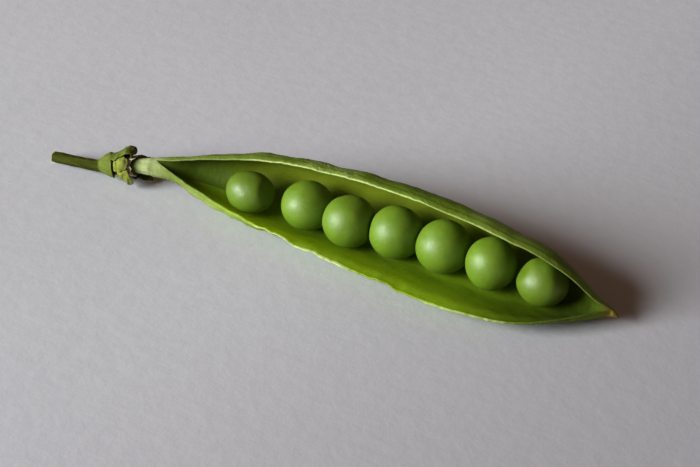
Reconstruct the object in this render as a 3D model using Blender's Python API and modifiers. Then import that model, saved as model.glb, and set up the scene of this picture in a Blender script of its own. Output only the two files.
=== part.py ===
"""Opened garden pea pod lying on its side wall, with seven peas, its calyx and its cut stalk.

The pod's long axis runs along X, from the stalk (-X) to the beak (+X). The two valves are
hinged along the keel, low at the back (+Y). The back valve curls over the peas, and the
front valve (-Y) is laid open on the surface. Dimensions below are in millimetres.
"""

import math

import bmesh
import bpy
import numpy as np

MM = 0.001

# ---------------------------------------------------------------- driving dimensions
POD_START, POD_END = -46.4, 37.3      # ends of the open suture
REST_CUT = 0.25                       # the belly is pressed flat up to this height
SHIFT = (14.42, 2.32, -REST_CUT)      # puts the origin under the middle of the bounding box
WALL, RIM = 0.95, 0.55                # valve thickness, and thickness at the torn suture
RIM_TAPER = 1.6                       # distance over which the rim thickens to the wall
CAVITY_START, CAVITY_END = 7.0, 5.0   # length over which the cavity deepens at each end
LENGTHWISE, AROUND = 38, 10           # sections of the shell, and steps along each valve
GAP = 0.3                             # clearance kept between touching pieces

# Cross-sections of the pod's outside: x, keel (y, z), front rim (y, z), back rim (y, z),
# slope of the wall at the keel, and the directions in which the front and the back valve
# arrive at their rims (degrees in the YZ plane, 180 = towards -Y).
SECTIONS = (
    (-46.4, 0.3, 2.6, -0.4, 5.9, -0.4, 5.9, 15, 32, 200),
    (-43.0, 1.0, 2.4, -1.3, 5.0, 0.1, 6.7, 17, 70, 196),
    (-38.0, 1.8, 1.9, -2.8, 4.4, 0.8, 8.0, 20, 89, 193),
    (-31.0, 2.7, 1.3, -5.3, 4.3, 1.2, 9.8, 26, 107, 193),
    (-22.0, 3.6, 1.1, -7.2, 3.9, 1.7, 11.4, 32, 133, 191),
    (-11.0, 4.3, 1.2, -9.1, 3.6, 1.8, 12.1, 38, 150, 191),
    (1.0, 4.7, 1.3, -10.7, 3.3, 1.0, 12.4, 40, 160, 191),
    (12.0, 4.5, 1.3, -11.9, 3.0, -0.2, 12.0, 40, 165, 190),
    (20.0, 3.8, 1.5, -11.5, 2.9, -1.4, 11.4, 42, 160, 188),
    (26.5, 2.5, 1.8, -9.7, 2.95, -2.0, 10.4, 44, 148, 190),
    (31.5, 1.5, 1.8, -6.0, 3.0, -1.6, 7.8, 45, 130, 187),
    (35.0, 0.7, 1.8, -2.6, 3.2, -1.0, 4.9, 45, 100, 192),
    (37.3, 0.2, 2.0, 0.0, 3.2, 0.0, 3.2, 45, 48, 204),
)

# Closed ends beyond the open suture: x, centre (y, z), radius
NECK = (
    (-47.6, -0.15, 4.20, 1.60),
    (-49.2, -0.40, 4.02, 1.45),
    (-50.8, -0.65, 3.80, 1.32),
    (-52.0, -0.80, 3.60, 1.05),
    (-53.2, -0.95, 3.36, 0.82),
    (-54.9, -1.10, 3.05, 0.75),
)
BEAK = ((37.7, 0.05, 2.52, 0.48), (38.1, 0.03, 2.38, 0.34), (38.5, 0.00, 2.22, 0.16))

# Peas: centre and half axes before neighbours press on them
PEAS = (
    (-27.1, -0.9, 5.60, 4.30, 3.80, 3.45),
    (-16.6, 0.1, 5.60, 4.42, 4.35, 4.10),
    (-8.25, -0.9, 5.62, 4.42, 4.40, 4.28),
    (0.0, 0.0, 5.62, 4.45, 4.40, 4.35),
    (8.4, -0.1, 5.65, 4.50, 4.45, 4.38),
    (17.1, -0.7, 5.65, 4.25, 4.20, 4.22),
    (26.1, -1.45, 5.42, 4.25, 3.88, 3.68),
)
# The last pea is squeezed by its neighbour and by the narrowing pod: direction, reach
PRESSED = (((-0.80, -0.25, 0.55), 3.55), ((0.75, -0.10, 0.65), 3.60))
PRESS_POWER = 14                      # higher joins the flats to the round body more sharply
PEA_SEGMENTS, PEA_RINGS = 22, 13
FUNICLE_RADIUS = 0.40
FUNICLE_LEAD = 3.4                    # how far the seed stalk leaves the keel before its pea

# Stalk: x, centre (y, z), radius; the last rings are the flared receptacle
STALK = (
    (-67.25, -2.00, 1.38, 0.96),
    (-66.0, -2.02, 1.50, 0.96),
    (-63.4, -2.02, 1.75, 0.95),
    (-60.9, -1.95, 1.97, 0.97),
    (-59.5, -1.91, 2.08, 1.01),
    (-58.3, -1.86, 2.22, 1.14),
    (-57.6, -1.78, 2.36, 1.36),
    (-56.8, -1.65, 2.55, 1.68),
    (-56.0, -1.48, 2.74, 1.95),
    (-55.5, -1.36, 2.86, 2.08),
    (-55.25, -1.32, 2.90, 1.96),
)

# Sepals: angle around the neck at the root (degrees, 0 = +Y, 90 = up, 180 = -Y), sideways
# lean per mm, then along the midrib: distance from the root, lift off the neck, half width
SEPALS = (
    (79, 1.0, ((0.0, 0.10, 0.80), (1.2, 0.60, 1.00), (2.2, 1.05, 1.10), (3.0, 1.40, 1.05), (3.6, 1.40, 0.80), (4.0, 1.00, 0.30))),
    (138, 6.0, ((0.0, 0.05, 0.80), (1.1, 0.45, 0.98), (2.2, 0.62, 1.08), (3.2, 0.85, 0.98), (3.9, 1.10, 0.72), (4.4, 1.40, 0.30))),
    (200, 6.5, ((0.06, 0.0, 0.72), (1.4, 0.02, 0.88), (2.4, 0.16, 0.92), (3.5, 0.65, 0.92), (4.5, 1.15, 0.75), (5.1, 1.50, 0.30))),
    (285, -1.0, ((0.0, 0.0, 0.75), (1.4, 0.05, 0.90), (2.8, 0.22, 0.95), (4.4, 0.60, 0.85), (5.9, 1.02, 0.60), (6.9, 1.20, 0.25))),
    (1, 2.0, ((0.0, 0.0, 0.80), (1.3, 0.12, 1.00), (2.6, 0.26, 1.05), (3.8, 0.46, 0.90), (4.7, 0.62, 0.60), (5.3, 0.75, 0.25))),
)
SEPAL_ROOT_X, SEPAL_ROOT_RADIUS, SEPAL_THICKNESS = -54.75, 1.80, 0.32
# Sheath of dried stamens around the stipe: x, radius
STAMEN = ((-54.6, 1.16), (-53.5, 1.24), (-52.4, 1.45), (-51.2, 1.66), (-49.9, 1.90))
STAMEN_THICKNESS = 0.20


# ---------------------------------------------------------------- geometry helpers
def spline(stations, values, x):
    """Smooth curve through the values at the stations."""
    s, v = np.asarray(stations, float), np.asarray(values, float)
    h, d = np.diff(s), np.diff(v) / np.diff(s)
    m = np.empty(len(s))
    m[0], m[-1] = d[0], d[-1]
    m[1:-1] = (d[:-1] * h[1:] + d[1:] * h[:-1]) / (h[1:] + h[:-1])
    i = min(max(int(np.searchsorted(s, x)) - 1, 0), len(s) - 2)
    t = (x - s[i]) / h[i]
    return (
        (2 * t**3 - 3 * t**2 + 1) * v[i]
        + (t**3 - 2 * t**2 + t) * h[i] * m[i]
        + (3 * t**2 - 2 * t**3) * v[i + 1]
        + (t**3 - t**2) * h[i] * m[i + 1]
    )


def smooth(t):
    t = min(max(t, 0.0), 1.0)
    return t * t * (3 - 2 * t)


def valve(keel, rim, leave, arrive, steps):
    """Points (y, z) of one valve from the keel to the rim, and the direction at each."""
    keel, rim = np.array(keel, float), np.array(rim, float)
    leave, arrive = math.radians(leave), math.radians(arrive)
    turn = abs(arrive - leave)
    chord = np.linalg.norm(rim - keel)
    handle = chord * (2 / 3) * math.tan(turn / 4) / math.sin(turn / 2)
    d0 = np.array((math.cos(leave), math.sin(leave)))
    d1 = np.array((math.cos(arrive), math.sin(arrive)))
    p = (keel, keel + d0 * handle, rim - d1 * handle, rim)
    t = np.linspace(0, 1, steps + 1)[:, None]
    points = (1 - t) ** 3 * p[0] + 3 * (1 - t) ** 2 * t * p[1] + 3 * (1 - t) * t**2 * p[2] + t**3 * p[3]
    slopes = (1 - t) ** 2 * (p[1] - p[0]) + 2 * (1 - t) * t * (p[2] - p[1]) + t**2 * (p[3] - p[2])
    return points, slopes / np.linalg.norm(slopes, axis=1)[:, None]


def section(x):
    """Outer and inner curve (y, z) at x, each from the front rim over the keel to the back rim."""
    stations = [row[0] for row in SECTIONS]
    ky, kz, fy, fz, by, bz, slope, front_in, back_in = (
        spline(stations, [row[k] for row in SECTIONS], x) for k in range(1, 10)
    )
    front, front_dir = valve((ky, kz), (fy, fz), slope + 180, front_in, AROUND)
    back, back_dir = valve((ky, kz), (by, bz), slope, back_in, AROUND)
    outer = np.concatenate([front[::-1], back[1:]])
    # inward normals: right of the way along the front valve, left of it along the back valve
    inward = np.concatenate(
        [
            np.stack([front_dir[:, 1], -front_dir[:, 0]], 1)[::-1],
            np.stack([-back_dir[:, 1], back_dir[:, 0]], 1)[1:],
        ]
    )
    steps = np.linalg.norm(np.diff(outer, axis=0), axis=1)
    along = np.concatenate([[0.0], np.cumsum(steps)])
    to_rim = np.minimum(along, along[-1] - along)
    wall = WALL - (WALL - RIM) * np.exp(-((to_rim / RIM_TAPER) ** 2))
    from_start, to_end = x - POD_START, POD_END - x
    wall = wall * smooth(from_start / 3.0) * smooth(to_end / 2.5)
    inner = outer + inward * wall[:, None]
    inner[:, 1] = np.maximum(inner[:, 1], REST_CUT + 0.68 * WALL)
    depth = smooth(from_start / CAVITY_START) * smooth(to_end / CAVITY_END)
    share = np.linspace(0, 1, len(inner))[:, None]
    across = inner[0] * (1 - share) + inner[-1] * share
    inner = across + (inner - across) * depth
    outer[:, 1] = np.maximum(outer[:, 1], REST_CUT)
    return outer, inner


def new_object(name, bm, colour, roughness, collection, root):
    mesh = bpy.data.meshes.new(name)
    bm.to_mesh(mesh)
    bm.free()
    return finish(bpy.data.objects.new(name, mesh), colour, roughness, collection, root)


def finish(obj, colour, roughness, collection, root):
    """Gives the object its own material, smooth shading, its collection and its parent."""
    material = bpy.data.materials.new(obj.name)
    material.use_nodes = True
    shader = material.node_tree.nodes["Principled BSDF"]
    shader.inputs["Base Color"].default_value = (*colour, 1.0)
    shader.inputs["Roughness"].default_value = roughness
    shader.inputs["Metallic"].default_value = 0.0
    obj.data.materials.clear()
    obj.data.materials.append(material)
    if obj.type == "MESH":
        obj.data.shade_smooth()
        obj.data.set_sharp_from_angle(angle=math.radians(50))
    for other in list(obj.users_collection):
        other.objects.unlink(obj)
    collection.objects.link(obj)
    obj.parent = root
    return obj


def neck_axis(x):
    """Centre (y, z) of the stipe inside the calyx."""
    rows = NECK[::-1]
    return tuple(spline([r[0] for r in rows], [r[k] for r in rows], x) for k in (1, 2))


def tube_object(name, path, radii, resolution):
    """A curve with a round bevel, its radius set point by point."""
    curve = bpy.data.curves.new(name, "CURVE")
    curve.dimensions = "3D"
    curve.bevel_depth = MM
    curve.bevel_resolution = resolution
    curve.use_fill_caps = True
    line = curve.splines.new("POLY")
    line.points.add(len(path) - 1)
    for point, place, radius in zip(line.points, path, radii):
        point.co = (place[0] * MM, place[1] * MM, place[2] * MM, 1.0)
        point.radius = radius
    line.use_smooth = True
    return bpy.data.objects.new(name, curve)


def add_solidify(obj, thickness):
    modifier = obj.modifiers.new("Thickness", "SOLIDIFY")
    modifier.thickness = thickness * MM
    modifier.offset = 0.0


# ---------------------------------------------------------------- pieces
def build_shell(collection, root):
    """Both valves, the neck and the beak as one closed wall around the open cavity."""
    bm = bmesh.new()
    u = np.linspace(0, 1, LENGTHWISE + 1)
    xs = POD_START + (POD_END - POD_START) * (u - 0.6 * np.sin(2 * math.pi * u) / (2 * math.pi))
    curves = [section(x) for x in xs]
    around = 2 * AROUND

    def vert(x, point):
        return bm.verts.new((x * MM, point[0] * MM, point[1] * MM))

    outer, inner = [], []
    for i, (x, (out, inn)) in enumerate(zip(xs, curves)):
        if i in (0, LENGTHWISE):          # both rims meet in one point at each end
            row = [vert(x, p) for p in out[:-1]]
            row.append(row[0])
            outer.append(row)
            inner.append([row[0]] * (around + 1))
        else:
            outer.append([vert(x, p) for p in out])
            inner.append([vert(x, p) for p in inn])

    def face(*verts):
        kept = [v for k, v in enumerate(verts) if v is not verts[k - 1]]
        if len(kept) > 2:
            bm.faces.new(kept)

    for i in range(LENGTHWISE):
        o0, o1, n0, n1 = outer[i], outer[i + 1], inner[i], inner[i + 1]
        for j in range(around):
            face(o0[j], o0[j + 1], o1[j + 1], o1[j])
            face(n0[j + 1], n0[j], n1[j], n1[j + 1])
        face(n0[0], o0[0], o1[0], n1[0])
        face(o0[-1], n0[-1], n1[-1], o1[-1])

    # Neck and beak continue the first and the last section as closed tubes.
    for row, tube, forwards in ((outer[0], NECK, False), (outer[-1], BEAK, True)):
        previous = row[:-1]
        top_y, top_z = previous[0].co.y / MM, previous[0].co.z / MM
        start = math.atan2(tube[0][1] - top_y, top_z - tube[0][2])
        for x, y, z, radius in tube:
            turns = [start + 2 * math.pi * k / around for k in range(around)]
            current = [vert(x, (y - radius * math.sin(t), z + radius * math.cos(t))) for t in turns]
            for k in range(around):
                n = (k + 1) % around
                quad = (previous[k], previous[n], current[n], current[k])
                face(*(quad if forwards else quad[::-1]))
            previous = current
        face(*(previous if forwards else previous[::-1]))
    bmesh.ops.recalc_face_normals(bm, faces=bm.faces)
    return new_object("pod_shell", bm, (0.16, 0.30, 0.035), 0.42, collection, root)


def pea_reach(index, way):
    """Distance from a pea's centre to its skin: an ellipsoid with a soft flat at each neighbour."""
    centre, axes = np.array(PEAS[index][:3]), np.array(PEAS[index][3:])
    total = np.linalg.norm(way / axes) ** PRESS_POWER
    flats = []
    for other in (index - 1, index + 1):
        if 0 <= other < len(PEAS):
            across = np.array(PEAS[other][:3]) - centre
            apart = np.linalg.norm(across)
            share = PEAS[index][3] / (PEAS[index][3] + PEAS[other][3])
            flats.append((across / apart, (apart - GAP) * share))
    if index == len(PEAS) - 1:
        flats += [(np.array(d) / np.linalg.norm(d), reach) for d, reach in PRESSED]
    for normal, reach in flats:
        total += (max(float(way @ normal), 0.0) / reach) ** PRESS_POWER
    return total ** (-1 / PRESS_POWER)


def build_pea(index, collection, root):
    bpy.ops.mesh.primitive_uv_sphere_add(segments=PEA_SEGMENTS, ring_count=PEA_RINGS, radius=MM)
    pea = bpy.context.object
    pea.name = pea.data.name = f"pea_{index + 1}"
    for vertex in pea.data.vertices:
        way = np.array(vertex.co) / np.linalg.norm(vertex.co)
        vertex.co = way * pea_reach(index, way) * MM
    pea.location = [c * MM for c in PEAS[index][:3]]
    return finish(pea, (0.22, 0.42, 0.04), 0.32, collection, root)


def build_funicle(index, collection, root):
    """Short stalk from the inside of the keel to the pea, bent from one normal to the other."""
    x, y, z, rx, ry, rz = PEAS[index]
    centre, axes = np.array((x, y, z)), np.array((rx, ry, rz))
    root_x = x - FUNICLE_LEAD
    slope = math.radians(spline([r[0] for r in SECTIONS], [r[7] for r in SECTIONS], root_x))
    off_keel = np.array((0.0, -math.sin(slope), math.cos(slope)))
    keel = np.array((root_x, *section(root_x)[1][AROUND]))
    start = keel + off_keel * 1.8 * GAP   # the wall rises beside the keel line
    ray = start - centre
    ray /= np.linalg.norm(ray)
    surface = centre + ray * pea_reach(index, ray)
    normal = (surface - centre) / axes**2
    normal /= np.linalg.norm(normal)
    end = surface + normal * GAP
    bend = np.linalg.norm(end - start) / 3
    p = (start, start + off_keel * bend, end + normal * bend, end)
    path = [
        (1 - t) ** 3 * p[0] + 3 * (1 - t) ** 2 * t * p[1] + 3 * (1 - t) * t**2 * p[2] + t**3 * p[3]
        for t in np.linspace(0, 1, 5)
    ]
    radii = [FUNICLE_RADIUS * f for f in (1.0, 0.9, 0.9, 1.0, 1.1)]
    obj = tube_object(f"funicle_{index + 1}", path, radii, 2)
    return finish(obj, (0.42, 0.52, 0.20), 0.5, collection, root)


def build_stalk(collection, root):
    obj = tube_object("stalk", [r[:3] for r in STALK], [r[3] for r in STALK], 4)
    return finish(obj, (0.10, 0.14, 0.03), 0.55, collection, root)


def build_sepal(index, collection, root):
    """A blade wrapped around the neck, curling off it towards the tip."""
    angle, lean, midrib = SEPALS[index]
    bm = bmesh.new()
    rows = []
    for run, lift, half in midrib:
        x = SEPAL_ROOT_X + run
        cy, cz = neck_axis(min(x, NECK[0][0]))
        radius = SEPAL_ROOT_RADIUS + lift
        row = []
        for k in range(5):
            side = (k - 2) / 2
            a = math.radians(angle + lean * run) + side * half / radius
            row.append(bm.verts.new((x * MM, (cy + radius * math.cos(a)) * MM, (cz + radius * math.sin(a)) * MM)))
        rows.append(row)
    for a, b in zip(rows, rows[1:]):
        for k in range(4):
            bm.faces.new((a[k], a[k + 1], b[k + 1], b[k]))
    obj = new_object(f"sepal_{index + 1}", bm, (0.13, 0.20, 0.03), 0.6, collection, root)
    add_solidify(obj, SEPAL_THICKNESS)
    return obj


def build_stamen_remains(collection, root):
    """Thin dry tube around the stipe, flaring towards the pod."""
    sides = 14
    bm = bmesh.new()
    rows = []
    for x, radius in STAMEN:
        cy, cz = neck_axis(x)
        turns = [2 * math.pi * k / sides for k in range(sides)]
        rows.append([bm.verts.new((x * MM, (cy + radius * math.cos(t)) * MM, (cz + radius * math.sin(t)) * MM)) for t in turns])
    for a, b in zip(rows, rows[1:]):
        for k in range(sides):
            n = (k + 1) % sides
            bm.faces.new((a[k], a[n], b[n], b[k]))
    obj = new_object("stamen_remains", bm, (0.50, 0.47, 0.28), 0.8, collection, root)
    add_solidify(obj, STAMEN_THICKNESS)
    return obj


def main():
    for obj in list(bpy.data.objects):
        bpy.data.objects.remove(obj, do_unlink=True)
    collection = bpy.data.collections.new("pea_pod")
    bpy.context.scene.collection.children.link(collection)
    root = bpy.data.objects.new("pea_pod_origin", None)
    collection.objects.link(root)
    root.location = [c * MM for c in SHIFT]

    build_shell(collection, root)
    for index in range(len(PEAS)):
        build_pea(index, collection, root)
        build_funicle(index, collection, root)
    build_stalk(collection, root)
    for index in range(len(SEPALS)):
        build_sepal(index, collection, root)
    build_stamen_remains(collection, root)
    bpy.context.view_layer.update()


main()
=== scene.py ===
import math

import bpy
import numpy as np
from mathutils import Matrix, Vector


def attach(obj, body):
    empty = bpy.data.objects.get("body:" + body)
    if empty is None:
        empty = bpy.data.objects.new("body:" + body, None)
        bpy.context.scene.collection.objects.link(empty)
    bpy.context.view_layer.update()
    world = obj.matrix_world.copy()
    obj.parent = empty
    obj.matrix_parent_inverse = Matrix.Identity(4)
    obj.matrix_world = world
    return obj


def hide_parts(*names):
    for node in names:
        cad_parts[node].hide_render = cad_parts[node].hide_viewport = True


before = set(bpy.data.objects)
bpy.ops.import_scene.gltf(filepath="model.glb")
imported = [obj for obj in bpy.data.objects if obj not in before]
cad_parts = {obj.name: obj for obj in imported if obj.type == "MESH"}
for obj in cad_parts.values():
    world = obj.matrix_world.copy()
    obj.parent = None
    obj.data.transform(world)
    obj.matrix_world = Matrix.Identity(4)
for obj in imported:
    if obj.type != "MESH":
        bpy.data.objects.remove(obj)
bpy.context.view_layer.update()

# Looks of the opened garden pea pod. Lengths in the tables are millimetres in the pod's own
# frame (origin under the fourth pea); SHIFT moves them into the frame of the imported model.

MM = 0.001
REST_CUT = 0.25
SHIFT = np.array((14.42, 2.32, -REST_CUT))

# ---------------------------------------------------------------- the pod, as in the CAD
POD_START, POD_END = -46.4, 37.3
WALL, RIM, RIM_TAPER = 0.95, 0.36, 1.5                # the seen rims are drawn finer than the CAD's
CAVITY_START, CAVITY_END = 7.0, 3.6
# x, keel (y, z), front rim (y, z), back rim (y, z), slope at the keel, directions at the rims
SECTIONS = np.array((
    (-46.4, 0.3, 2.6, -0.4, 5.9, -0.4, 5.9, 15, 32, 200),
    (-43.0, 1.0, 2.4, -1.3, 5.0, 0.1, 6.7, 17, 70, 196),
    (-38.0, 1.8, 1.9, -2.8, 4.4, 0.8, 8.0, 20, 89, 193),
    (-31.0, 2.7, 1.3, -5.3, 4.3, 1.2, 9.8, 26, 107, 193),
    (-22.0, 3.6, 1.1, -7.2, 3.9, 1.7, 11.4, 32, 133, 191),
    (-11.0, 4.3, 1.2, -9.1, 3.6, 1.8, 12.1, 38, 150, 191),
    (1.0, 4.7, 1.3, -10.7, 3.3, 1.0, 12.4, 40, 160, 191),
    (12.0, 4.5, 1.3, -11.9, 3.0, -0.2, 12.0, 40, 165, 190),
    (20.0, 3.8, 1.5, -11.5, 2.9, -1.4, 11.4, 42, 160, 188),
    (26.5, 2.5, 1.8, -9.7, 2.95, -2.0, 10.4, 44, 148, 190),
    (31.5, 1.5, 1.8, -6.0, 3.0, -1.6, 7.8, 45, 130, 187),
    (35.0, 0.7, 1.8, -2.6, 3.2, -1.0, 4.9, 45, 100, 192),
    (37.3, 0.2, 2.0, 0.0, 3.2, 0.0, 3.2, 45, 48, 204),
))
NECK = np.array((
    (-47.6, -0.15, 4.20, 1.60),
    (-49.2, -0.40, 3.99, 1.39),
    (-50.8, -0.65, 3.77, 1.24),
    (-52.0, -0.80, 3.60, 1.05),
    (-53.2, -0.95, 3.36, 0.82),
    (-54.9, -1.10, 3.05, 0.75),
))
BEAK = np.array(((37.7, 0.05, 2.52, 0.48), (38.1, 0.03, 2.38, 0.36), (38.5, 0.00, 2.22, 0.20)))
# Peas: centre, half axes
PEAS = np.array((
    (-27.1, -0.9, 5.60, 4.32, 3.62, 3.56),
    (-16.6, 0.1, 5.60, 4.45, 4.40, 4.12),
    (-8.25, -0.9, 5.62, 4.45, 4.45, 4.30),
    (0.0, 0.0, 5.62, 4.50, 4.45, 4.42),
    (8.5, -0.1, 5.65, 4.46, 4.50, 4.45),
    (17.2, -0.7, 5.65, 4.16, 4.22, 4.28),
    (26.2, -1.40, 5.45, 4.16, 3.80, 3.84),
))
FUNICLE_LEAD = 3.4
STALK = np.array((
    (-67.25, -2.00, 1.38, 0.96),
    (-66.0, -2.02, 1.50, 0.95),
    (-63.4, -2.02, 1.75, 0.94),
    (-60.9, -1.95, 1.97, 0.96),
    (-59.5, -1.91, 2.08, 1.00),
    (-58.2, -1.86, 2.22, 1.01),
    (-57.5, -1.78, 2.36, 1.12),
    (-56.8, -1.65, 2.55, 1.46),
    (-56.0, -1.48, 2.74, 1.88),
    (-55.1, -1.30, 2.90, 2.14),
))


# ---------------------------------------------------------------- curves and fields
def spline(stations, values, x):
    """Smooth curve through the values at the stations."""
    s, v, x = np.asarray(stations, float), np.asarray(values, float), np.asarray(x, float)
    h, d = np.diff(s), np.diff(v) / np.diff(s)
    m = np.empty(len(s))
    m[0], m[-1] = d[0], d[-1]
    m[1:-1] = (d[:-1] * h[1:] + d[1:] * h[:-1]) / (h[1:] + h[:-1])
    i = np.clip(np.searchsorted(s, x) - 1, 0, len(s) - 2)
    t = (x - s[i]) / h[i]
    return (
        (2 * t**3 - 3 * t**2 + 1) * v[i]
        + (t**3 - 2 * t**2 + t) * h[i] * m[i]
        + (3 * t**2 - 2 * t**3) * v[i + 1]
        + (t**3 - t**2) * h[i] * m[i + 1]
    )


def smooth(t):
    t = np.clip(t, 0.0, 1.0)
    return t * t * (3 - 2 * t)


def span(x, a, b, soft):
    """1 between a and b, falling to 0 over soft outside."""
    return smooth((x - a + soft) / soft) * smooth((b + soft - x) / soft)


def field(points, wavelength, seed, waves=18):
    """Smooth random field with a spread of 1, from seeded plane waves."""
    points = np.asarray(points, float)
    if points.ndim == 1:
        points = points[:, None]
    rng = np.random.default_rng(seed)
    directions = rng.normal(size=(waves, points.shape[-1]))
    directions /= np.linalg.norm(directions, axis=1)[:, None]
    directions /= (wavelength * rng.uniform(0.7, 1.6, waves))[:, None]
    phases = rng.uniform(0, 2 * math.pi, waves)
    return np.cos(2 * math.pi * points @ directions.T + phases).sum(-1) / math.sqrt(waves / 2)


def unit(v):
    return v / np.maximum(np.linalg.norm(v, axis=-1, keepdims=True), 1e-12)


# ---------------------------------------------------------------- meshes
def make_mesh(name, vertices, faces, attributes=None):
    """Mesh object from pod millimetres, with float or vector attributes on its vertices."""
    # Every piece is a closed skin whose faces look outward
    points = np.asarray(vertices, float)
    corners = np.array([(f[0], f[k], f[k + 1]) for f in faces for k in range(1, len(f) - 1)])
    first, second, third = (points[corners[:, k]] for k in range(3))
    if np.einsum("ij,ij->", first, np.cross(second, third)) < 0:
        faces = [tuple(reversed(f)) for f in faces]
    mesh = bpy.data.meshes.new(name)
    places = (np.asarray(vertices, float) + SHIFT) * MM
    mesh.from_pydata(places.tolist(), [], [list(map(int, f)) for f in faces])
    for key, values in (attributes or {}).items():
        values = np.asarray(values, float)
        kind = "FLOAT" if values.ndim == 1 else "FLOAT_VECTOR"
        layer = mesh.attributes.new(key, kind, "POINT")
        layer.data.foreach_set("value" if values.ndim == 1 else "vector", values.ravel())
    mesh.validate()
    mesh.shade_smooth()
    obj = bpy.data.objects.new(name, mesh)
    bpy.context.scene.collection.objects.link(obj)
    return obj


def grid_faces(rows, columns, start=0, closed=True, flip=False):
    """Quads between rows of columns vertices."""
    faces = []
    for i in range(rows - 1):
        a, b = start + i * columns, start + (i + 1) * columns
        for j in range(columns if closed else columns - 1):
            n = (j + 1) % columns
            quad = (a + j, a + n, b + n, b + j)
            faces.append(quad[::-1] if flip else quad)
    return faces


def cleaned(faces):
    """Drops repeated corners, and faces left with fewer than three."""
    kept = []
    for face in faces:
        corners = [v for k, v in enumerate(face) if v != face[k - 1]]
        if len(set(corners)) > 2:
            kept.append(corners)
    return kept


def frames(path):
    """Tangent and two steady side directions along a path."""
    path = np.asarray(path, float)
    tangent = unit(np.gradient(path, axis=0))
    side = np.empty_like(path)
    first = np.cross(tangent[0], (0.0, 0.0, 1.0))
    if np.linalg.norm(first) < 0.1:
        first = np.cross(tangent[0], (0.0, 1.0, 0.0))
    side[0] = unit(first)
    for k in range(1, len(path)):
        s = side[k - 1] - tangent[k] * np.dot(side[k - 1], tangent[k])
        side[k] = unit(s)
    return tangent, side, np.cross(tangent, side)


def sweep(path, radius, sides):
    """Tube around a path; radius is (rows, sides). Returns vertices and faces with both ends closed."""
    tangent, side, up = frames(path)
    turn = np.linspace(0, 2 * math.pi, sides, endpoint=False)
    ring = side[:, None, :] * np.cos(turn)[None, :, None] + up[:, None, :] * np.sin(turn)[None, :, None]
    grid = path[:, None, :] + ring * radius[..., None]
    rows = len(path)
    vertices = grid.reshape(-1, 3)
    faces = grid_faces(rows, sides)
    vertices = np.concatenate([vertices, [path[0], path[-1]]])
    a, b = rows * sides, rows * sides + 1
    last = (rows - 1) * sides
    faces += [(a, (j + 1) % sides, j) for j in range(sides)]
    faces += [(b, last + j, last + (j + 1) % sides) for j in range(sides)]
    return vertices, faces, turn


def blade(name, centre, thickness, attributes=None, closed=False):
    """Closed sheet around a grid of centre points (rows, columns, 3)."""
    rows, columns = centre.shape[:2]
    du = np.gradient(centre, axis=0)
    if closed:
        dv = (np.roll(centre, -1, 1) - np.roll(centre, 1, 1)) / 2
    else:
        dv = np.gradient(centre, axis=1)
    normal = unit(np.cross(du, dv))
    top = centre + normal * thickness[..., None] / 2
    under = centre - normal * thickness[..., None] / 2
    count = rows * columns
    faces = grid_faces(rows, columns, 0, closed) + grid_faces(rows, columns, count, closed, True)
    if closed:
        for i in (0, rows - 1):
            for j in range(columns):
                n = (j + 1) % columns
                quad = (i * columns + j, i * columns + n, count + i * columns + n, count + i * columns + j)
                faces.append(quad[::-1] if i == 0 else quad)
    else:
        loop = [j for j in range(columns)]
        loop += [i * columns + columns - 1 for i in range(1, rows)]
        loop += [(rows - 1) * columns + j for j in range(columns - 2, -1, -1)]
        loop += [i * columns for i in range(rows - 2, 0, -1)]
        for a, b in zip(loop, loop[1:] + loop[:1]):
            faces.append((b, a, count + a, count + b))
    vertices = np.concatenate([top.reshape(-1, 3), under.reshape(-1, 3)])
    both = {k: np.concatenate([np.asarray(v, float).ravel()] * 2) for k, v in (attributes or {}).items()}
    return make_mesh(name, vertices, faces, both)


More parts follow.
